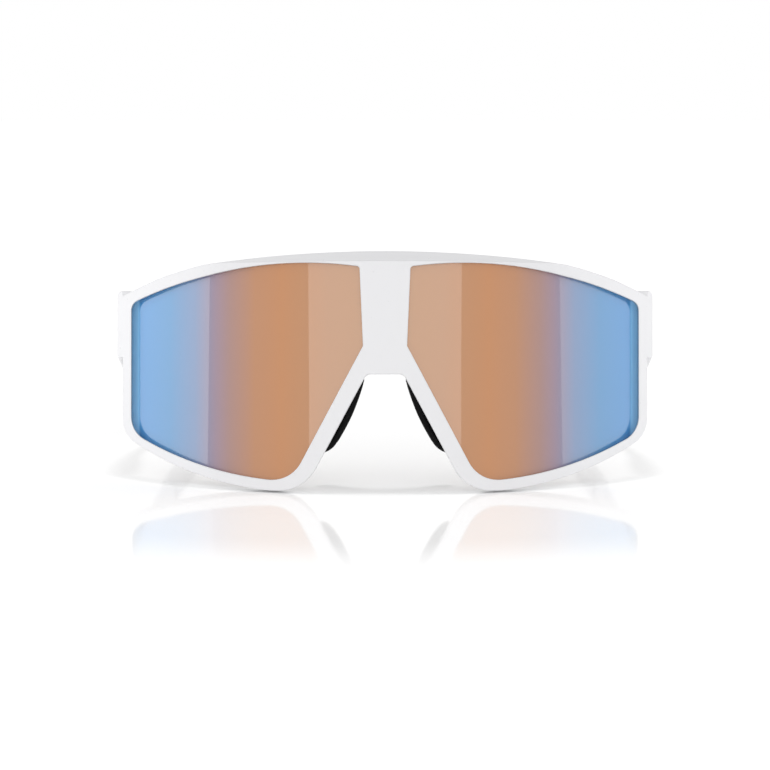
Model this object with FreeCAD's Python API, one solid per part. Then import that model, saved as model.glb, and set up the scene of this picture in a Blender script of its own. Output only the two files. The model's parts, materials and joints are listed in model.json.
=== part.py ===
# Wraparound sport sunglasses: a full-rim front with a one-piece cylindrical shield lens,
# adjustable nose pads and two folding temples, standing on the lower rims and the tips.
import FreeCAD, Part
import math
import os

V = FreeCAD.Vector
X_AXIS = V(1, 0, 0)
Y_AXIS = V(0, 1, 0)
Z_AXIS = V(0, 0, 1)

# All sizes are in millimetres and degrees.
# The front is drawn in its own upright frame: x across, y back, z up, with the bend
# of the lens about a vertical axis. It is leaned back onto the ground at the end.

# Lens and shell of the front
lens_radius = 92.0
lens_thickness = 1.8
lens_overlap = 0.8
groove_clearance = 0.05
front_lip = 1.6
back_lip = 1.0
rest_lean = 7.0

# Outline of the front, half of it
brow_height = 62.5
brow_flat_half = 48.0
brow_flat_drop = 3.2
brow_flat_sag = 0.8
brow_bend_half = 61.0
brow_bend_drop = 6.7
brow_bend_sag = 0.2
brow_end_drop = 10.5
rim_half_width = 70.4
rim_corner_height = 14.9
rim_corner_radius = 8.0
rim_bottom = 0.2
rim_bottom_end = 30.0
rim_bottom_sag = 2.7
nose_foot_half = 21.0
nose_foot_radius = 11.0
nose_arch_half = 4.8
nose_arch_height = 30.4
nose_arch_radius = 2.0

# One window of the front
window_side = 2.45
window_corner_drop = 12.7
window_top_radius = 2.8
window_knee_half = 46.8
window_knee_drop = 6.05
window_crest_half = 24.0
window_crest_drop = 3.15
window_top_sag = 0.55
window_low_corner = 15.6
window_low_radius = 7.0
window_bottom = 3.0
window_bottom_sag = 2.2
window_foot_half = 24.2
window_foot_radius = 8.5
column_top_half = 6.6
column_top_drop = 4.2
column_neck_half = 5.7
column_neck_height = 37.7
column_corner_radius = 0.8

# Brow shelf
brow_lip_drop = 2.8
brow_slope_run = 5.0
brow_depth = 7.0
brow_trim = 0.1
shelf_thickness = 3.6
shelf_slope_drop = 1.2
shelf_end_half = 58.0

# Hinge
hinge_inset = 3.0
hinge_setback = 10.85
hinge_drop = 19.5
lug_height = 17.5
lug_outer = 4.6
lug_inner = 1.7
lug_front = 9.0
lug_wall = 2.0
lug_round = 0.9
lug_clear_side = 6.0
lug_clear_back = 20.0
barrel_radius = 2.4
hinge_gap = 0.2
tongue_height = 5.0
tongue_gap = 0.06
ear_height = 3.0
screw_radius = 0.8
screw_clearance = 0.05
screw_end_gap = 0.2
screw_head_radius = 1.45
screw_head_height = 0.8
screw_slot_width = 0.35
screw_slot_depth = 0.4

# Temple arm
temple_inner = 1.6
arm_straight = 15.0
arm_inner_straight = 11.0
arm_bow_radius = 285.0
arm_thickness = 3.2
arm_taper_end = 45.0
arm_waist_height = 8.6
arm_end_height = 6.4
arm_root_length = 5.0
arm_bevel = 0.8
sleeve_start = 76.0
tenon_root = 1.0
tenon_length = 24.0
tenon_thickness = 2.0
tenon_height = 4.4
web_overlap = 0.5
fit_clearance = 0.04

# Temple tip
tip_reach = 118.6
tip_height = 7.6
tip_proud = 0.7
tip_round = 1.5
tip_corner_flats = 2
rib_count = 7
rib_start = 10.0
rib_pitch = 3.2
rib_width = 1.0
rib_depth = 0.35
rib_height = 4.2
core_thickness = 0.8
core_height = 2.4
core_start = 60.0
core_end = 110.0

# Nose piece
clip_thickness = 2.6
clip_half_width = 5.4
clip_top_half_width = 4.2
clip_bottom = 31.2
clip_top = 36.2
clip_round = 0.6
peg_width = 1.7
peg_length = 1.2
peg_root = 0.8
peg_spread = 2.2
pad_top_half = 6.3
pad_top_depth = 8.2
pad_top_height = 29.6
pad_low_half = 14.6
pad_low_depth = 16.0
pad_low_height = 10.6
pad_splay = 25.0
pad_thickness = 2.4
pad_neck_width = 3.4
pad_width = 9.0
pad_bevel = 0.7
wire_radius = 0.5
wire_seat_half = 3.4
wire_seat_depth = 5.9
wire_seat_height = 33.6
wire_elbow_half = 4.6
wire_elbow_depth = 10.4
wire_elbow_height = 32.6
wire_reach = 0.62

# Blocks and cutters that run past the pieces they shape
block_front = -5.0
block_depth = 70.0
drum_low = -10.0
drum_height = 90.0
shell_low = -2.0
shell_half_turn = 60.0
side_block_half = 40.0
cut_margin = 1.0
edge_margin = 0.2
touch = 0.01
parallel = 0.999

# Derived values
axis_depth = lens_radius + front_lip
shell_front = lens_radius + front_lip
shell_back = lens_radius - lens_thickness - back_lip
window_half_width = rim_half_width - window_side
window_top_corner = brow_height - window_corner_drop
window_knee_height = brow_height - window_knee_drop
window_crest_height = brow_height - window_crest_drop
column_top_height = brow_height - column_top_drop
half_lug = lug_height / 2
hinge_half_width = rim_half_width - hinge_inset
hinge_depth = axis_depth - math.sqrt(shell_front ** 2 - hinge_half_width ** 2) + hinge_setback
hinge_height = brow_height - hinge_drop
hinge = V(hinge_half_width, hinge_depth, hinge_height)
bow_center = V(lug_outer - arm_bow_radius, arm_straight, 0)
bow_middle = arm_bow_radius - arm_thickness / 2
pad_top = V(pad_top_half, pad_top_depth, pad_top_height)
pad_bottom = V(pad_low_half, pad_low_depth, pad_low_height)
wire_seat = V(wire_seat_half, wire_seat_depth, wire_seat_height)
wire_elbow = V(wire_elbow_half, wire_elbow_depth, wire_elbow_height)


def corner_arc(a, middle, b):
    return Part.Arc(a, middle, b).toShape()


def line(a, b):
    return Part.LineSegment(a, b).toShape()


def at(x, z):
    return V(x, block_front, z)


def bulged(a, b, bulge):
    """Arc from a to b whose middle lies the bulge to the right of the chord, seen from the front."""
    middle = (a + b) * 0.5
    chord = (b - a).normalize()
    side = V(chord.z, 0, -chord.x)
    return corner_arc(a, middle + side * bulge, b)


def prism(edges):
    wire = Part.Wire(Part.__sortEdges__(edges))
    return Part.Face(wire).extrude(V(0, block_depth, 0))


def round_corners(solid, corners):
    """Rounds the edges that run straight back from each (x, z, radius) corner."""
    for x, z, radius in corners:
        found = [edge for edge in solid.Edges
                 if len(edge.Vertexes) == 2
                 and all(math.hypot(v.X - x, v.Z - z) < touch for v in edge.Vertexes)]
        solid = solid.makeFillet(radius, found)
    return solid


def mirrored(shape):
    return shape.mirror(V(0, 0, 0), X_AXIS)


def drum(radius):
    """Solid cylinder about the upright axis of the lens bend."""
    return Part.makeCylinder(radius, drum_height, V(0, axis_depth, drum_low))


def outline_prism():
    """Whole outline of the front, with the nose arch, as a block running back."""
    top = [at(0, brow_height),
           at(brow_flat_half, brow_height - brow_flat_drop),
           at(brow_bend_half, brow_height - brow_bend_drop),
           at(rim_half_width, brow_height - brow_end_drop)]
    low = at(rim_half_width, rim_corner_height)
    bottom = at(rim_bottom_end, rim_bottom)
    foot = at(nose_foot_half, rim_bottom)
    arch = at(nose_arch_half, nose_arch_height)
    edges = [bulged(top[0], top[1], -brow_flat_sag),
             bulged(top[1], top[2], -brow_bend_sag),
             line(top[2], top[3]),
             line(top[3], low),
             bulged(low, bottom, -rim_bottom_sag),
             line(bottom, foot),
             line(foot, arch),
             line(arch, at(0, nose_arch_height)),
             line(at(0, nose_arch_height), at(0, brow_height))]
    half = round_corners(prism(edges), [(rim_half_width, rim_corner_height, rim_corner_radius),
                                        (nose_foot_half, rim_bottom, nose_foot_radius),
                                        (nose_arch_half, nose_arch_height, nose_arch_radius)])
    return half.fuse(mirrored(half)).removeSplitter()


def window_edges(inner_edges):
    """Top, outer and lower edges of a window, closed by the given inner edges."""
    top = at(column_top_half, column_top_height)
    knee = at(window_knee_half, window_knee_height)
    outer = at(window_half_width, window_top_corner)
    low = at(window_half_width, window_low_corner)
    bottom = at(rim_bottom_end, window_bottom)
    foot = at(window_foot_half, window_bottom)
    neck = at(column_neck_half, column_neck_height)
    crest = at(window_crest_half, window_crest_height)
    return [corner_arc(top, crest, knee),
            bulged(knee, outer, -window_top_sag),
            line(outer, low),
            bulged(low, bottom, -window_bottom_sag),
            line(bottom, foot),
            line(foot, neck)] + inner_edges


outer_corners = [(window_half_width, window_top_corner, window_top_radius),
                 (window_half_width, window_low_corner, window_low_radius),
                 (window_foot_half, window_bottom, window_foot_radius)]


def window_prism():
    neck = at(column_neck_half, column_neck_height)
    top = at(column_top_half, column_top_height)
    corners = outer_corners + [(column_neck_half, column_neck_height, column_corner_radius),
                               (column_top_half, column_top_height, column_corner_radius)]
    return round_corners(prism(window_edges([line(neck, top)])), corners)


def shield_wire(growth):
    """Outline of the one-piece shield, grown past the windows by the given overlap."""
    neck = at(column_neck_half, column_neck_height)
    top = at(column_top_half, column_top_height)
    inner = [line(neck, at(0, column_neck_height)),
             line(at(0, column_neck_height), at(0, column_top_height)),
             line(at(0, column_top_height), top)]
    half = round_corners(prism(window_edges(inner)), outer_corners)
    whole = half.fuse(mirrored(half)).removeSplitter()
    face = [f for f in whole.Faces if abs(f.CenterOfMass.y - block_front) < touch][0]
    return face.OuterWire.makeOffset2D(growth) if growth else face.OuterWire


def shield_prism(growth):
    return Part.Face(shield_wire(growth)).extrude(V(0, block_depth, 0))


def shell_blank():
    """Bent wall of the front with its brow: a section turned about the axis of the bend."""
    shelf_low = brow_height - shelf_thickness
    section = [(shell_front, shell_low),
               (shell_front, brow_height - brow_lip_drop),
               (shell_front - brow_slope_run, brow_height + brow_trim),
               (shell_front - brow_depth, brow_height + brow_trim),
               (shell_front - brow_depth, shelf_low),
               (shell_back, shelf_low - shelf_slope_drop),
               (shell_back, shell_low)]
    points = [V(0, axis_depth - radius, z) for radius, z in section]
    face = Part.Face(Part.makePolygon(points + points[:1]))
    face.rotate(V(0, axis_depth, 0), Z_AXIS, -shell_half_turn)
    return face.revolve(V(0, axis_depth, 0), Z_AXIS, 2 * shell_half_turn)


def rim_shell():
    """Front without its lugs: brow, column and rims, open behind the shield."""
    window = window_prism()
    shell = shell_blank().common(outline_prism())
    shell = shell.cut([window, mirrored(window)])
    shelf_end = box(shelf_end_half, 2 * rim_half_width, 0, block_depth, shell_low, 2 * brow_height)
    shelf_end = shelf_end.common(drum(shell_back))
    shell = shell.cut([shelf_end, mirrored(shelf_end)])
    inner_drum = drum(lens_radius - lens_thickness / 2)
    return shell.cut(shield_prism(0).common(inner_drum))


def lens_groove():
    """Room for the edge of the lens, all the way round."""
    band = drum(lens_radius + groove_clearance)
    band = band.cut(drum(lens_radius - lens_thickness - groove_clearance))
    return band.common(shield_prism(lens_overlap + groove_clearance))


def shield_lens():
    sheet = drum(lens_radius).cut(drum(lens_radius - lens_thickness))
    return sheet.common(shield_prism(lens_overlap))


def box(x0, x1, y0, y1, z0, z1):
    return Part.makeBox(x1 - x0, y1 - y0, z1 - z0, V(x0, y0, z0))


def round_long_edges(solid, direction, radius, keep=lambda edge: True):
    """Rounds the straight edges that run along a direction."""
    found = [edge for edge in solid.Edges
             if edge.Curve.TypeId == "Part::GeomLine"
             and abs(edge.tangentAt(edge.FirstParameter).dot(direction)) > parallel
             and keep(edge)]
    return solid.makeFillet(radius, found)


def lug():
    """Left hinge lug about the hinge axis: an outer wall and two ears for the tongue."""
    wall = box(-lug_inner, lug_outer, -lug_front, barrel_radius, -half_lug, half_lug)
    wall = round_long_edges(wall, Y_AXIS, lug_round, lambda e: e.CenterOfMass.x > 0)
    open_back = box(-lug_inner, lug_outer - lug_wall, 0, barrel_radius, -half_lug, half_lug)
    hollow_depth = barrel_radius + hinge_gap
    ear_top = tongue_height / 2 + tongue_gap + ear_height
    hollows = [box(-lug_inner, lug_outer - lug_wall, -hollow_depth, 0, ear_top, half_lug),
               box(-lug_inner, lug_outer - lug_wall, -hollow_depth, 0, -half_lug, -ear_top)]
    ears = Part.makeCylinder(barrel_radius, 2 * ear_top, V(0, 0, -ear_top))
    body = wall.cut(open_back)
    for hollow in hollows:
        body = body.cut(hollow)
    body = body.fuse(ears)
    slot_half = tongue_height / 2 + tongue_gap
    slot = Part.makeCylinder(hollow_depth, 2 * slot_half, V(0, 0, -slot_half))
    slot = slot.fuse(box(-lug_inner - cut_margin, lug_outer - lug_wall, 0, hollow_depth,
                         -slot_half, slot_half))
    body = body.cut(slot)
    return body.cut(screw_hole(ear_top))


def screw_hole(ear_top):
    hole = Part.makeCylinder(screw_radius + screw_clearance, 2 * ear_top, V(0, 0, -ear_top))
    head_radius = screw_head_radius + screw_clearance
    head = Part.makeCylinder(head_radius, screw_head_height, V(0, 0, ear_top - screw_head_height))
    return hole.fuse(head)


def hinge_screw():
    ear_top = tongue_height / 2 + tongue_gap + ear_height
    shank = Part.makeCylinder(screw_radius, 2 * ear_top - screw_end_gap,
                              V(0, 0, -ear_top + screw_end_gap))
    head = Part.makeCylinder(screw_head_radius, screw_head_height, V(0, 0, ear_top - screw_head_height))
    slot = box(-screw_head_radius, screw_head_radius, -screw_slot_width / 2, screw_slot_width / 2,
               ear_top - screw_slot_depth, ear_top + cut_margin)
    return shank.fuse(head).cut(slot).removeSplitter()


def bow_point(radius, y):
    """Point of a bowed temple line, of the given radius about the common bow centre."""
    return V(bow_center.x + math.sqrt(radius * radius - (y - arm_straight) ** 2), y, 0)


def bow_angle(y):
    """Turn about the bow centre that reaches a distance behind the hinge, on the middle line."""
    return math.degrees(math.asin((y - arm_straight) / bow_middle))


def bow_arc(radius, y0, y1):
    return corner_arc(bow_point(radius, y0), bow_point(radius, (y0 + y1) / 2), bow_point(radius, y1))


def bow_sector(outer_radius, inner_radius, y0, y1, height):
    """Curved bar of the temple between two bow radii, centred on the arm's height."""
    edges = [bow_arc(outer_radius, y0, y1),
             line(bow_point(outer_radius, y1), bow_point(inner_radius, y1)),
             bow_arc(inner_radius, y1, y0),
             line(bow_point(inner_radius, y0), bow_point(outer_radius, y0))]
    face = Part.Face(Part.Wire(edges))
    face.translate(V(0, 0, -height / 2))
    return face.extrude(V(0, 0, height))


def side_prism(edges):
    """Side view of a temple piece, drawn at x = 0, as a block running across."""
    face = Part.Face(Part.Wire(edges))
    face.translate(V(-side_block_half, 0, 0))
    return face.extrude(V(2 * side_block_half, 0, 0))


def side(y, z):
    return V(0, y, z)


def arc_from(start, way, end):
    """Arc from start, leaving in the given direction, to end."""
    chord = end - start
    across = (chord - way * chord.dot(way)).normalize()
    radius = chord.Length ** 2 / (2 * chord.dot(across))
    center = start + across * radius
    outward = (start + chord * 0.5 - center).normalize()
    return corner_arc(start, center + outward * radius, end)


def two_arcs(start, first, end, last):
    """Two arcs that join start to end smoothly, with the given directions there."""
    chord = end - start
    ways = first + last
    spare = 2 * (1 - first.dot(last))
    reach = (math.sqrt(chord.dot(ways) ** 2 + spare * chord.Length ** 2) - chord.dot(ways)) / spare
    joint = (start + first * reach + end - last * reach) * 0.5
    return [arc_from(start, first, joint), arc_from(end, last * -1, joint)]


def arm_side():
    """Side outline of the arm: full lug height at the hinge, drawn in to a slim shank."""
    root = barrel_radius + hinge_gap
    half_waist = arm_waist_height / 2
    half_end = arm_end_height / 2
    shoulder = side(root + arm_root_length, half_lug)
    waist = side(arm_taper_end, half_waist)
    end = side(sleeve_start, half_end)
    upper = two_arcs(shoulder, Y_AXIS, waist, (end - waist).normalize()) + [line(waist, end)]
    upper.append(line(side(root, half_lug), shoulder))
    lower = [edge.mirror(V(0, 0, 0), Z_AXIS) for edge in upper]
    ends = [line(side(root, -half_lug), side(root, half_lug)),
            line(side(sleeve_start, -half_end), side(sleeve_start, half_end))]
    return side_prism(Part.__sortEdges__(upper + lower + ends))


def arm_plan():
    """Plan of the arm: straight and thick at the hinge, bowed and slim towards the tip."""
    root = barrel_radius + hinge_gap
    inner_radius = arm_bow_radius - arm_thickness
    outer_root = V(lug_outer, root, 0)
    inner_root = V(-temple_inner, root, 0)
    inner_straight = V(-temple_inner, arm_inner_straight, 0)
    inner_waist = bow_point(inner_radius, arm_taper_end)
    waist_way = Z_AXIS.cross(inner_waist - bow_center).normalize()
    edges = [line(outer_root, bow_point(arm_bow_radius, arm_straight)),
             bow_arc(arm_bow_radius, arm_straight, sleeve_start),
             line(bow_point(arm_bow_radius, sleeve_start), bow_point(inner_radius, sleeve_start)),
             bow_arc(inner_radius, sleeve_start, arm_taper_end),
             line(inner_straight, inner_root),
             line(inner_root, outer_root)]
    edges += two_arcs(inner_straight, Y_AXIS, inner_waist, waist_way)
    face = Part.Face(Part.Wire(Part.__sortEdges__(edges)))
    face.translate(V(0, 0, -half_lug - cut_margin))
    return face.extrude(V(0, 0, lug_height + 2 * cut_margin))


def tenon(clearance):
    half = tenon_thickness / 2 + clearance
    return bow_sector(bow_middle + half, bow_middle - half, sleeve_start - tenon_root,
                      sleeve_start + tenon_length + clearance, tenon_height + 2 * clearance)


def core_strip():
    """Flat steel strip along the middle of the arm, bowed with it."""
    half = core_thickness / 2
    return bow_sector(bow_middle + half, bow_middle - half, core_start, core_end, core_height)


def temple_arm():
    """White arm with the hinge tongue at its root and the tenon for the tip."""
    root = barrel_radius + hinge_gap
    arm = arm_plan().common(arm_side())
    arm = arm.makeChamfer(arm_bevel, long_edges(arm, root, sleeve_start))
    tongue = Part.makeCylinder(barrel_radius, tongue_height, V(0, 0, -tongue_height / 2))
    web = box(-temple_inner, barrel_radius, 0, root + web_overlap, -tongue_height / 2, tongue_height / 2)
    hole = Part.makeCylinder(screw_radius + screw_clearance, tongue_height + 2 * cut_margin,
                             V(0, 0, -tongue_height / 2 - cut_margin))
    arm = arm.fuse([tongue, web, tenon(0)]).cut(hole).cut(core_strip())
    return arm.removeSplitter()


def long_edges(solid, y0, y1):
    """Edges of a temple piece that run its length between two distances from the hinge."""
    found = []
    for edge in solid.Edges:
        ys = [v.Y for v in edge.Vertexes]
        if max(ys) - min(ys) > cut_margin and min(ys) > y0 - edge_margin and max(ys) < y1 + edge_margin:
            found.append(edge)
    return found


def tip_section(low):
    """Upper part of the tip's section, from the given height up, with corners of short flats."""
    outer = arm_bow_radius + tip_proud
    inner = arm_bow_radius - arm_thickness - tip_proud
    top = tip_height / 2
    turns = [math.radians(90 * step / tip_corner_flats) for step in range(tip_corner_flats + 1)]
    corner = [((1 - math.cos(turn)) * tip_round, (1 - math.sin(turn)) * tip_round) for turn in turns]
    points = [V(inner + x, 0, top - z) for x, z in corner]
    points += [V(outer - x, 0, top - z) for x, z in reversed(corner)]
    if low < 0:
        points += [V(p.x, 0, -p.z) for p in reversed(points)]
    else:
        points += [V(outer, 0, 0), V(inner, 0, 0)]
    face = Part.Face(Part.makePolygon(points + points[:1]))
    face.translate(bow_center)
    return face


def temple_tip():
    """Soft sleeve over the end of the arm, ribbed on the head side, with a round end."""
    half = tip_height / 2
    first = bow_angle(sleeve_start - tenon_root)
    last = bow_angle(tip_reach - half)
    bar = tip_section(-half)
    bar.rotate(bow_center, Z_AXIS, first)
    sleeve = bar.revolve(bow_center, Z_AXIS, last - first)
    cap = tip_section(0).revolve(bow_center, X_AXIS, -180)
    cap.rotate(bow_center, Z_AXIS, last)
    ahead = box(-side_block_half, side_block_half, arm_straight, sleeve_start, -half, half)
    sleeve = sleeve.fuse(cap).cut(ahead)
    inner = arm_bow_radius - arm_thickness - tip_proud
    for index in range(rib_count):
        y = sleeve_start + rib_start + index * rib_pitch
        groove = bow_sector(inner + rib_depth, inner - cut_margin, y, y + rib_width, rib_height)
        sleeve = sleeve.cut(groove)
    return sleeve.cut(tenon(fit_clearance)).cut(core_strip()).removeSplitter()


def nose_clip():
    """Saddle behind the nose arch, with two pegs into the front."""
    block = drum(shell_back).cut(drum(shell_back - clip_thickness))
    shape = prism([line(at(-clip_half_width, clip_bottom), at(clip_half_width, clip_bottom)),
                   line(at(clip_half_width, clip_bottom), at(clip_top_half_width, clip_top)),
                   line(at(clip_top_half_width, clip_top), at(-clip_top_half_width, clip_top)),
                   line(at(-clip_top_half_width, clip_top), at(-clip_half_width, clip_bottom))])
    shape = round_corners(shape, [(-clip_top_half_width, clip_top, clip_round),
                                  (clip_top_half_width, clip_top, clip_round),
                                  (-clip_half_width, clip_bottom, clip_round),
                                  (clip_half_width, clip_bottom, clip_round)])
    clip = block.common(shape)
    return clip.fuse(pegs(0)).removeSplitter()


def pegs(clearance):
    """Two square pegs of the nose clip, or with a clearance the sockets for them."""
    y = axis_depth - shell_back
    height = (clip_bottom + clip_top) / 2
    half = peg_width / 2 + clearance
    return [box(x - half, x + half, y - peg_length - clearance, y + peg_root, height - half, height + half)
            for x in (-peg_spread, peg_spread)]


def pad_frame():
    """Directions of the left nose pad: along it, across it towards the head, and out of it."""
    along = (pad_bottom - pad_top).normalize()
    angle = math.radians(pad_splay)
    back = V(math.sin(angle), math.cos(angle), 0)
    across = (back - along * back.dot(along)).normalize()
    return along, across, along.cross(across)


def nose_pad():
    """Teardrop rubber pad: a narrow neck under the arch that swells towards the cheek."""
    along, across, outward = pad_frame()
    length = (pad_bottom - pad_top).Length
    neck = pad_neck_width / 2
    belly = pad_width / 2
    flare = math.asin((belly - neck) / (length - belly - neck))

    def spot(radius, center, turn):
        """Point of a circle of the outline, turned from the head side towards the low end."""
        return (pad_top + along * (center + radius * math.sin(turn))
                + across * (radius * math.cos(turn)))

    low_center = length - belly
    neck_back = spot(neck, neck, -flare)
    neck_front = spot(neck, neck, math.pi + flare)
    low_back = spot(belly, low_center, -flare)
    low_front = spot(belly, low_center, math.pi + flare)
    edges = [line(neck_back, low_back),
             corner_arc(low_back, spot(belly, low_center, math.pi / 2), low_front),
             line(low_front, neck_front),
             corner_arc(neck_front, spot(neck, neck, -math.pi / 2), neck_back)]
    face = Part.Face(Part.Wire(edges))
    face.translate(outward * (-pad_thickness / 2))
    pad = face.extrude(outward * pad_thickness)
    rims = [e for e in pad.Edges if e.Curve.TypeId != "Part::GeomLine"
            or abs(e.tangentAt(e.FirstParameter).dot(outward)) < 0.5]
    return pad.makeChamfer(pad_bevel, rims)


def nose_wire():
    """Bent wire from the clip back to its elbow and down into the pad."""
    goal = pad_top + (pad_bottom - pad_top) * wire_reach
    wire = Part.makeSphere(wire_radius, wire_elbow)
    for start, end in ((wire_elbow, wire_seat), (wire_elbow, goal)):
        wire = wire.fuse(Part.makeCylinder(wire_radius, (end - start).Length, start, end - start))
    return wire


def tilt(shape, angle, origin):
    """Turns a shape about a line across the glasses, so that its back goes down."""
    turned = shape.copy()
    turned.rotate(origin, X_AXIS, -angle)
    return turned


def lowest(shape):
    return shape.optimalBoundingBox(False).ZMin


def stance(rims, tip):
    """Ground height under the leaned front, and the turn of the temples that stands them on it."""
    ground = lowest(tilt(rims, rest_lean, V(0, 0, 0)))
    lean = math.radians(rest_lean)
    hinge_above = hinge.z * math.cos(lean) - hinge.y * math.sin(lean) - ground
    end_center = tip_reach - tip_height / 2
    drop = math.asin((hinge_above - tip_height / 2) / end_center)
    # The bowed end is turned a little, so its low corner is found and lifted onto the ground.
    sunk = hinge_above + lowest(tilt(tip, math.degrees(drop), V(0, 0, 0)))
    drop += sunk / (end_center * math.cos(drop))
    return ground, math.degrees(drop) - rest_lean


def build():
    rims = rim_shell()
    tip = temple_tip()
    ground, temple_angle = stance(rims, tip)

    def at_hinge(shape):
        placed = tilt(shape, temple_angle, V(0, 0, 0))
        placed.translate(hinge)
        return placed

    in_view = window_prism().cut(drum(shell_back))
    left_lug = at_hinge(lug()).common(drum(shell_front)).cut(in_view)
    clear = at_hinge(box(-lug_inner - lug_clear_side, lug_outer - lug_wall,
                         -barrel_radius - hinge_gap, lug_clear_back, -half_lug, half_lug))
    clip = nose_clip()
    wire = nose_wire()
    front = rims.cut([clear, mirrored(clear)])
    front = front.fuse([left_lug, mirrored(left_lug)]).removeSplitter()
    front = front.cut([lens_groove()] + pegs(fit_clearance))
    clip = clip.cut([wire, mirrored(wire)])
    pad = nose_pad().cut(wire)
    screw = at_hinge(hinge_screw())

    pieces = {"front_frame": front,
              "shield_lens": shield_lens(),
              "nose_clip": clip,
              "hinge_screws": Part.makeCompound([screw, mirrored(screw)])}
    sided = {"nose_pad": pad,
             "nose_wire": wire,
             "temple_arm": at_hinge(temple_arm()),
             "temple_tip": at_hinge(tip),
             "tip_core": at_hinge(core_strip())}
    for name, shape in sided.items():
        pieces[name + "_left"] = shape
        pieces[name + "_right"] = mirrored(shape)

    placed = {name: tilt(shape, rest_lean, V(0, 0, 0)) for name, shape in pieces.items()}
    whole = Part.makeCompound(list(placed.values())).optimalBoundingBox(False)
    shift = V(0, -(whole.YMin + whole.YMax) / 2, -ground)
    for shape in placed.values():
        shape.translate(shift)
    return placed


os.makedirs("parts", exist_ok=True)
for node, solid in build().items():
    solid.exportStep("parts/" + node + ".step")
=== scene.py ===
import json
import math
import bmesh
import bpy
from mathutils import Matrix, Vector


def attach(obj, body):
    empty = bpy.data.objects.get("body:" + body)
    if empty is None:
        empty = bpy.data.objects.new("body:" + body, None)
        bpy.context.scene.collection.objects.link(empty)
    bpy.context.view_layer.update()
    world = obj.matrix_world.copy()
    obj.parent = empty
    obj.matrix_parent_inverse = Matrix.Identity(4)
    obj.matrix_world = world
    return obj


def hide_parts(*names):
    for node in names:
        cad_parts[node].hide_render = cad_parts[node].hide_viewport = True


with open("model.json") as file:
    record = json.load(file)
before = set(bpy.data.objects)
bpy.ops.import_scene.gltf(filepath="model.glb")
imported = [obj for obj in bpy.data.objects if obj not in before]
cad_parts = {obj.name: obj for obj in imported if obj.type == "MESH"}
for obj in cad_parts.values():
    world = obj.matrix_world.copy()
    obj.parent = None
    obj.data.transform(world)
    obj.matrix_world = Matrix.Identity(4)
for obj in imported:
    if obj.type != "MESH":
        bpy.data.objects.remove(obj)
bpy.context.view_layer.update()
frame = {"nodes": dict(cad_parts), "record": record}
print("frame loaded,", len(frame["nodes"]), "pieces")


def linear(hexText):
    # sRGB hex to the linear colour that the shaders want
    parts = [int(hexText[i:i + 2], 16) / 255 for i in (1, 3, 5)]
    return [c / 12.92 if c <= 0.04045 else ((c + 0.055) / 1.055) ** 2.4 for c in parts] + [1.0]


def addNode(tree, kind, links=None, **settings):
    # one node: attributes and input values by name, then its links
    node = tree.nodes.new("ShaderNode" + kind)
    for name, value in settings.items():
        if hasattr(node, name):
            setattr(node, name, value)
        else:
            node.inputs[name.replace("_", " ")].default_value = value
    for name, source in (links or {}).items():
        tree.links.new(source, node.inputs[name])
    return node


def newMaterial(name):
    mat = bpy.data.materials.new(name)
    mat.use_nodes = True
    mat.node_tree.nodes.clear()
    return mat, mat.node_tree


def objectPoint(tree):
    return addNode(tree, "TexCoord").outputs["Object"]


def seenRays(tree):
    # 1 for camera, glossy and transmission rays, 0 for the rays that light the object
    path = addNode(tree, "LightPath")
    seen = addNode(tree, "Math", {0: path.outputs["Is Camera Ray"], 1: path.outputs["Is Glossy Ray"]},
                   operation="MAXIMUM")
    through = addNode(tree, "Math", {0: seen.outputs["Value"], 1: path.outputs["Is Transmission Ray"]},
                      operation="MAXIMUM")
    return through.outputs["Value"]


def finishWith(tree, shader):
    addNode(tree, "OutputMaterial", {"Surface": shader})


def dress(slotName, mat):
    # gives the finish to each CAD piece that the record puts in this slot
    for part in frame["record"]["subparts"]:
        if part["material_slot"] == slotName:
            for slot in frame["nodes"][part["node"]].material_slots:
                slot.material = mat


# front and temples: white nylon, injection moulded in a polished tool
nylon = {
    "color": "#e6e6e8",
    "roughness": 0.3,
    "spread": 0.05,           # how far the roughness wanders either way
    "orangePeel": 1.1,        # mm, the slow waviness of a moulded gloss face
    "peelStrength": 0.04,
    "peelDepth": 0.1,         # mm
    "edgeRadius": 0.35,       # mm, how far the tool's edges are broken
    "edgeSamples": 6,
    "ior": 1.53,
}


def mouldedNylon():
    mat, tree = newMaterial("glossWhiteNylon")
    point = objectPoint(tree)
    # gives soft, slightly wavy highlights and edges that catch a thin line of light
    wave = addNode(tree, "TexNoise", {"Vector": point}, Scale=1000 / nylon["orangePeel"], Detail=1.0)
    edge = addNode(tree, "Bevel", samples=nylon["edgeSamples"], Radius=nylon["edgeRadius"] / 1000)
    bump = addNode(tree, "Bump", {"Height": wave.outputs["Fac"], "Normal": edge.outputs["Normal"]},
                   Strength=nylon["peelStrength"], Distance=nylon["peelDepth"] / 1000)
    rough = addNode(tree, "MapRange", {"Value": wave.outputs["Fac"]},
                    To_Min=nylon["roughness"] - nylon["spread"], To_Max=nylon["roughness"] + nylon["spread"])
    body = addNode(tree, "BsdfPrincipled",
                   {"Normal": bump.outputs["Normal"], "Roughness": rough.outputs["Result"]},
                   Base_Color=linear(nylon["color"]), IOR=nylon["ior"])
    finishWith(tree, body.outputs["BSDF"])
    return mat


dress("white_nylon", mouldedNylon())

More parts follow.
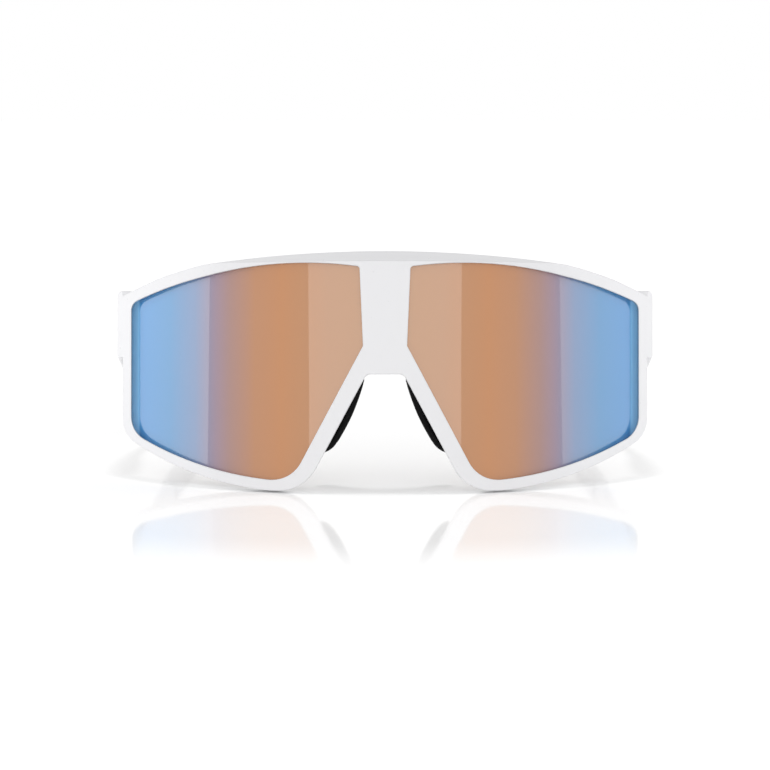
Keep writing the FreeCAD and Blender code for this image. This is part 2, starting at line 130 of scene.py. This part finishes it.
# shield lens: brown polycarbonate with a vacuum-coated mirror on its outer face
lens = {
    "axisPoint": (0.0, 0.01290, -0.01044),     # m, on the axis that the shield bends round
    "axisAlong": (0.0, 0.12187, 0.99255),
    "coatRadius": 91.1,                         # mm, between the inner and outer faces
    "halfWidth": 70.4,                          # mm, where the colours end
    # mm from the middle, and the colour there: the mirror coat's colour, with a painted reflection shift to
    # blue;
    # the last two are painted light that brightens the ends, which lie in the shade of the rim's lip
    "coatAndPaintedLightColors": [(0.0, "#b48252"), (15.0, "#b88355"), (27.0, "#c58349"), (34.0, "#bf8355"),
                     (40.6, "#a88078"), (44.5, "#988193"), (50.0, "#6a87b1"), (57.0, "#3b89bf"),
                     (65.4, "#2288c9"), (66.0, "#8ccbf6"), (68.0, "#a4dcff")],
    "metal": 0.4,             # share of the coat that mirrors as metal
    "metalRoughness": 0.5,
    "glossRoughness": 0.02,
    "glossIor": 1.9,          # a dielectric stack reflects more than bare plastic
    "opacity": 0.86,
    "wave": 25.0,             # mm, the slow waviness of the moulding
    "waveStrength": 0.02,
    "waveDepth": 0.5,         # mm
    "tint": "#8a6248",
    "backOpacity": 0.35,
    "backRoughness": 0.12,
    "backIor": 1.58,
}


def mirrorCoat():
    mat, tree = newMaterial("mirrorCoatedPolycarbonate")
    point = objectPoint(tree)
    # the coat's colour runs from bronze in the middle to blue at the wrapped ends. This is painted reflection:
    # the colour shift the coat shows with viewing angle, fixed to the distance from the middle. The ends are
    # brightened as painted light against the lip's shade.
    across = addNode(tree, "SeparateXYZ", {"Vector": point})
    side = addNode(tree, "Math", {0: across.outputs["X"]}, operation="ABSOLUTE")
    place = addNode(tree, "Math", {0: side.outputs["Value"]}, operation="DIVIDE")
    place.inputs[1].default_value = lens["halfWidth"] / 1000
    ramp = addNode(tree, "ValToRGB", {"Fac": place.outputs["Value"]})
    stops = ramp.color_ramp.elements
    while len(stops) < len(lens["coatAndPaintedLightColors"]):
        stops.new(0.5)
    for stop, (millimetres, color) in zip(stops, lens["coatAndPaintedLightColors"]):
        stop.position = millimetres / lens["halfWidth"]
        stop.color = linear(color)
    # faint waviness of the moulded shield under the coat
    wave = addNode(tree, "TexNoise", {"Vector": point}, Scale=1000 / lens["wave"], Detail=1.0)
    bump = addNode(tree, "Bump", {"Height": wave.outputs["Fac"]}, Strength=lens["waveStrength"],
                   Distance=lens["waveDepth"] / 1000)
    mirror = addNode(tree, "BsdfPrincipled",
                     {"Base Color": ramp.outputs["Color"], "Normal": bump.outputs["Normal"]},
                     Metallic=lens["metal"], Roughness=lens["metalRoughness"], Coat_Weight=1.0,
                     Coat_Roughness=lens["glossRoughness"], Coat_IOR=lens["glossIor"])
    clear = addNode(tree, "BsdfTransparent", Color=linear(lens["tint"]))
    front = addNode(tree, "MixShader", {1: clear.outputs["BSDF"], 2: mirror.outputs["BSDF"]},
                    Fac=lens["opacity"])
    # the inner face and the edges are bare polycarbonate, a see-through brown
    brown = addNode(tree, "BsdfPrincipled", Base_Color=linear(lens["tint"]),
                    Roughness=lens["backRoughness"], IOR=lens["backIor"])
    back = addNode(tree, "MixShader", {1: clear.outputs["BSDF"], 2: brown.outputs["BSDF"]},
                   Fac=lens["backOpacity"])
    # the distance from the shield's axis tells the outer face from the inner one
    fromAxis = addNode(tree, "VectorMath", {0: point}, operation="SUBTRACT")
    fromAxis.inputs[1].default_value = lens["axisPoint"]
    turned = addNode(tree, "VectorMath", {0: fromAxis.outputs["Vector"]}, operation="CROSS_PRODUCT")
    turned.inputs[1].default_value = lens["axisAlong"]
    radius = addNode(tree, "VectorMath", {0: turned.outputs["Vector"]}, operation="LENGTH")
    outer = addNode(tree, "Math", {0: radius.outputs["Value"]}, operation="GREATER_THAN")
    outer.inputs[1].default_value = lens["coatRadius"] / 1000
    both = addNode(tree, "MixShader", {"Fac": outer.outputs["Value"], 1: back.outputs["Shader"],
                                       2: front.outputs["Shader"]})
    finishWith(tree, both.outputs["Shader"])
    return mat


dress("mirror_lens", mirrorCoat())

# small parts: black nylon clip, rubber pads and tips, steel wires, cores and screws
smallParts = {
    "black_nylon": {"name": "sparkErodedBlackNylon", "color": "#1b1b1c", "roughness": 0.55,
                    "grain": 0.25, "depth": 0.25, "specular": 0.5, "metallic": 0.0},
    "pad_rubber": {"name": "mattBlackRubber", "color": "#0c0c0d", "roughness": 0.68,
                   "grain": 0.35, "depth": 0.35, "specular": 0.12, "metallic": 0.0},
    "tip_rubber": {"name": "softGreyRubber", "color": "#d9d9db", "roughness": 0.6,
                   "grain": 0.3, "depth": 0.25, "specular": 0.5, "metallic": 0.0},
    "steel": {"name": "drawnStainlessSteel", "color": "#c9c9cb", "roughness": 0.25,
              "grain": 0.2, "depth": 0.15, "specular": 0.5, "metallic": 1.0},
}
grainSpread = 0.08            # how far the roughness wanders either way
grainHeight = 0.05            # mm


def grainy(values):
    mat, tree = newMaterial(values["name"])
    point = objectPoint(tree)
    # a fine grain breaks up the highlight, as a textured tool or a drawn wire does
    grain = addNode(tree, "TexNoise", {"Vector": point}, Scale=1000 / values["grain"], Detail=3.0)
    bump = addNode(tree, "Bump", {"Height": grain.outputs["Fac"]}, Strength=values["depth"],
                   Distance=grainHeight / 1000)
    rough = addNode(tree, "MapRange", {"Value": grain.outputs["Fac"]},
                    To_Min=values["roughness"] - grainSpread, To_Max=values["roughness"] + grainSpread)
    body = addNode(tree, "BsdfPrincipled",
                   {"Normal": bump.outputs["Normal"], "Roughness": rough.outputs["Result"]},
                   Base_Color=linear(values["color"]), Metallic=values["metallic"],
                   Specular_IOR_Level=values["specular"])
    finishWith(tree, body.outputs["BSDF"])
    return mat


for slotName, values in smallParts.items():
    dress(slotName, grainy(values))
print("finishes given")

# nose pads: soft rubber, bent into crescents between the rim and the nose
pads = {
    "bottom": 9.0,            # mm above the ground
    "middle": 19.0,
    "top": 29.4,
    "reach": 10.0,            # mm from the middle to each end
    "bow": (0.30, -1.37, 1.15),    # mm outwards: at the middle, along the height, and with its square
    "stretch": 1.2,           # mm that the neck grows upwards
    "slices": 22,
    "soften": 0.3,
}


def softPad(side, sign):
    cadPad = frame["nodes"]["nose_pad_" + side]
    shape = bmesh.new()
    shape.from_mesh(cadPad.data)
    bmesh.ops.remove_doubles(shape, verts=shape.verts, dist=1e-6)
    for i in range(1, pads["slices"]):      # cuts across it, so that it can bend
        height = pads["bottom"] + (pads["top"] - pads["bottom"]) * i / pads["slices"]
        bmesh.ops.bisect_plane(shape, geom=shape.verts[:] + shape.edges[:] + shape.faces[:], dist=1e-7,
                               plane_co=(0.0, 0.0, height / 1000), plane_no=(0.0, 0.0, 1.0))
    bmesh.ops.triangulate(shape, faces=shape.faces)
    still, slope, curve = pads["bow"]
    for vert in shape.verts:
        s = (vert.co.z * 1000 - pads["middle"]) / pads["reach"]
        vert.co.x += sign * (still + slope * s + curve * s * s) / 1000
        vert.co.z += pads["stretch"] / 1000 * max(s, 0.0) ** 2
    bmesh.ops.smooth_vert(shape, verts=shape.verts, factor=pads["soften"],
                          use_axis_x=True, use_axis_y=True, use_axis_z=True)
    bmesh.ops.recalc_face_normals(shape, faces=shape.faces)
    for face in shape.faces:
        face.smooth = True
    name = "rubberPad" + side.capitalize()
    mesh = bpy.data.meshes.new(name)
    shape.to_mesh(mesh)
    shape.free()
    mesh.materials.append(cadPad.material_slots[0].material)
    pad = bpy.data.objects.new(name, mesh)
    bpy.context.scene.collection.objects.link(pad)
    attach(pad, "front")
    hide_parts("nose_pad_" + side)


softPad("left", 1)
softPad("right", -1)
print("nose pads shaped")

# floor: a white acrylic sheet that shows the shadow and a weak reflection
floor = {
    "size": 8.0,              # m
    "color": "#f2f2f2",
    "gloss": 0.30,            # share of the sheet's light that mirrors near the object
    "farGloss": 0.03,         # the same, away from it
    "polished": (0.150, 0.205),    # m from the middle, where the gloss fades out
    "glossRoughness": 0.06,
    "lift": 0.12,             # radiance added for seen rays, so that the open floor is white
    "farLift": 0.45,          # the same, far from the object
    "fade": (0.15, 0.90),     # m from the middle, where the lift changes
}


def layFloor():
    bpy.ops.mesh.primitive_plane_add(size=floor["size"])
    sheet = bpy.context.object
    sheet.name = "floorSheet"
    mat, tree = newMaterial("whiteAcrylicSheet")
    # a matt white body under a polished face, which gives a soft shadow and a pale reflection
    matt = addNode(tree, "BsdfDiffuse", Color=linear(floor["color"]))
    gloss = addNode(tree, "BsdfGlossy", Color=linear(floor["color"]), Roughness=floor["glossRoughness"])
    away = addNode(tree, "VectorMath", {0: objectPoint(tree)}, operation="LENGTH")
    shine = addNode(tree, "MapRange", {"Value": away.outputs["Value"]}, interpolation_type="SMOOTHSTEP",
                    From_Min=floor["polished"][0], From_Max=floor["polished"][1],
                    To_Min=floor["gloss"], To_Max=floor["farGloss"])
    mixed = addNode(tree, "MixShader", {0: shine.outputs["Result"], 1: matt.outputs["BSDF"],
                                        2: gloss.outputs["BSDF"]})
    amount = addNode(tree, "MapRange", {"Value": away.outputs["Value"]},
                     From_Min=floor["fade"][0], From_Max=floor["fade"][1],
                     To_Min=floor["lift"], To_Max=floor["farLift"])
    lift = addNode(tree, "Math", {0: seenRays(tree), 1: amount.outputs["Result"]}, operation="MULTIPLY")
    glow = addNode(tree, "Emission", {"Strength": lift.outputs["Value"]})
    total = addNode(tree, "AddShader", {0: mixed.outputs["Shader"], 1: glow.outputs["Emission"]})
    finishWith(tree, total.outputs["Shader"])
    sheet.data.materials.append(mat)
    return sheet


floorSheet = layFloor()

# light: a white room, a wide front card, two side cards, and a small lamp overhead;
# the room is seen at full white and lights the object at the lower strength
room = {"seen": 1.0, "lights": 0.63}
lamps = {
    "frontCard": {"place": (0.0, -1.75, 0.65), "target": (0.0, -0.07, 0.65),
                  "width": 1.742, "height": 1.30, "radiance": 1.1},
    "leftCard": {"place": (0.46, -0.063, 0.25), "target": (0.0, -0.063, 0.25),
                 "width": 0.406, "height": 0.50, "radiance": 0.85},
    "rightCard": {"place": (-0.46, -0.063, 0.25), "target": (0.0, -0.063, 0.25),
                  "width": 0.406, "height": 0.50, "radiance": 1.2},
    # draws the thin shadow under the front, and lights the floor alone
    "overheadLamp": {"place": (0.0, -0.02, 1.2), "target": (0.0, -0.02, 0.0),
                     "width": 0.15, "height": 0.15, "radiance": 40.0},
}


def paintRoom():
    world = bpy.data.worlds.new("whiteRoom")
    bpy.context.scene.world = world
    world.use_nodes = True
    tree = world.node_tree
    tree.nodes.clear()
    strength = addNode(tree, "MapRange", {"Value": seenRays(tree)}, To_Min=room["lights"], To_Max=room["seen"])
    sky = addNode(tree, "Background", {"Strength": strength.outputs["Result"]}, Color=(1.0, 1.0, 1.0, 1.0))
    addNode(tree, "OutputWorld", {"Surface": sky.outputs["Background"]})


def aim(thing, place, target):
    thing.location = place
    thing.rotation_euler = (Vector(target) - Vector(place)).to_track_quat("-Z", "Y").to_euler()


def hangLamp(name, values):
    data = bpy.data.lights.new(name, "AREA")
    data.shape = "RECTANGLE"
    data.size = values["width"]
    data.size_y = values["height"]
    data.energy = values["radiance"] * math.pi * values["width"] * values["height"]
    lamp = bpy.data.objects.new(name, data)
    bpy.context.scene.collection.objects.link(lamp)
    aim(lamp, values["place"], values["target"])
    lamp.visible_camera = False
    return lamp


paintRoom()
for name, values in lamps.items():
    hangLamp(name, values)
floorOnly = bpy.data.collections.new("floorOnly")
floorOnly.objects.link(floorSheet)
bpy.data.objects["overheadLamp"].light_linking.receiver_collection = floorOnly

# camera: straight ahead and a little above, about 0.8 m from the lens
view = {"place": (0.0, -0.8800, 0.1153), "target": (0.0, -0.0800, 0.0287), "lens": 146.2, "sensor": 36.0}


def setCamera():
    data = bpy.data.cameras.new("photoCamera")
    data.lens = view["lens"]
    data.sensor_width = view["sensor"]
    camera = bpy.data.objects.new("photoCamera", data)
    bpy.context.scene.collection.objects.link(camera)
    aim(camera, view["place"], view["target"])
    bpy.context.scene.camera = camera


setCamera()
bpy.context.scene.view_settings.view_transform = "Standard"
print("room, lamps and camera set")
